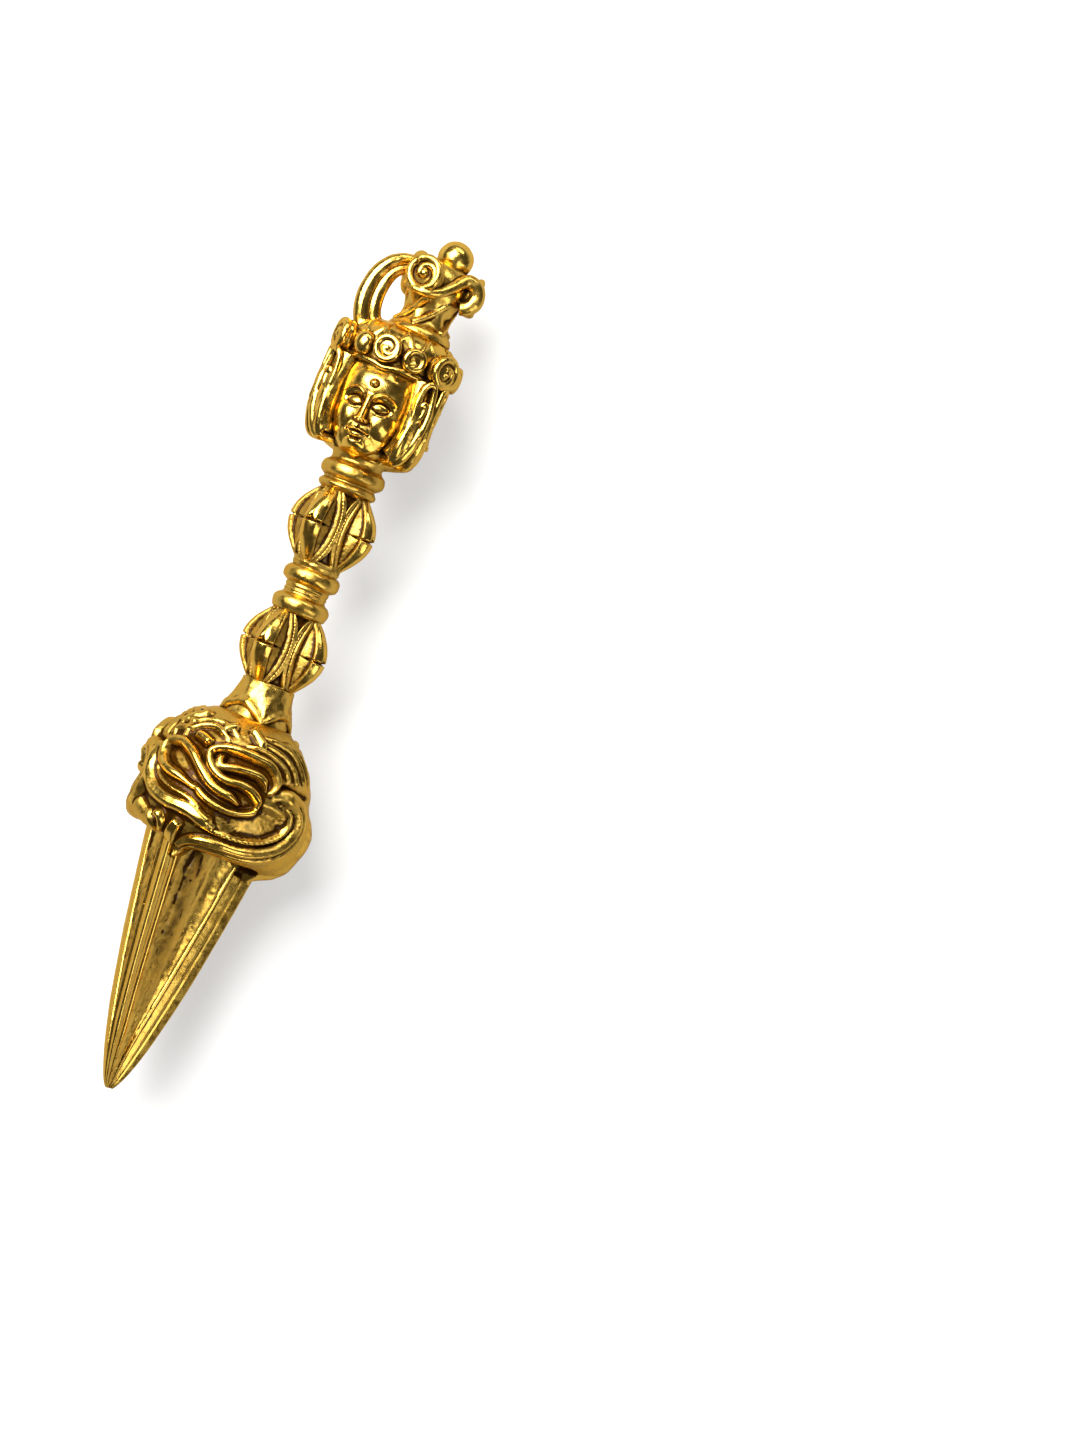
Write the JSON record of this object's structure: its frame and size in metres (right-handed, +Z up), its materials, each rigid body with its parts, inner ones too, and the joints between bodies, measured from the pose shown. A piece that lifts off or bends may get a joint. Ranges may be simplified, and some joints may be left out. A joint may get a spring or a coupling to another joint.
{
  "type": "phurba",
  "caption": "Three-edged brass ritual peg with a knotted guard, a double vajra grip, a three-faced head and a cast bail for hanging.",
  "frame": {"origin": "on the surface the phurba lies on, under the middle of its box", "axes": "+Y along the phurba from its point to its ball, +X to the right and +Z up out of the front face"},
  "size_m": [0.0194, 0.0916, 0.0195],
  "materials": {
    "cast_brass": "polished, with dark patina in the hollows",
    "rod_brass": "drawn, plain"
  },
  "bodies": {
    "root": {"blade": "cast_brass", "guard": "cast_brass", "collar": "cast_brass", "lower_knot": "cast_brass", "spool": "cast_brass", "upper_knot": "cast_brass", "neck": "cast_brass", "head": "cast_brass", "crown": "cast_brass", "topknot": "cast_brass", "finial_ball": "cast_brass", "bail": "cast_brass", "rod": "rod_brass"}
  },
  "joints": []
}
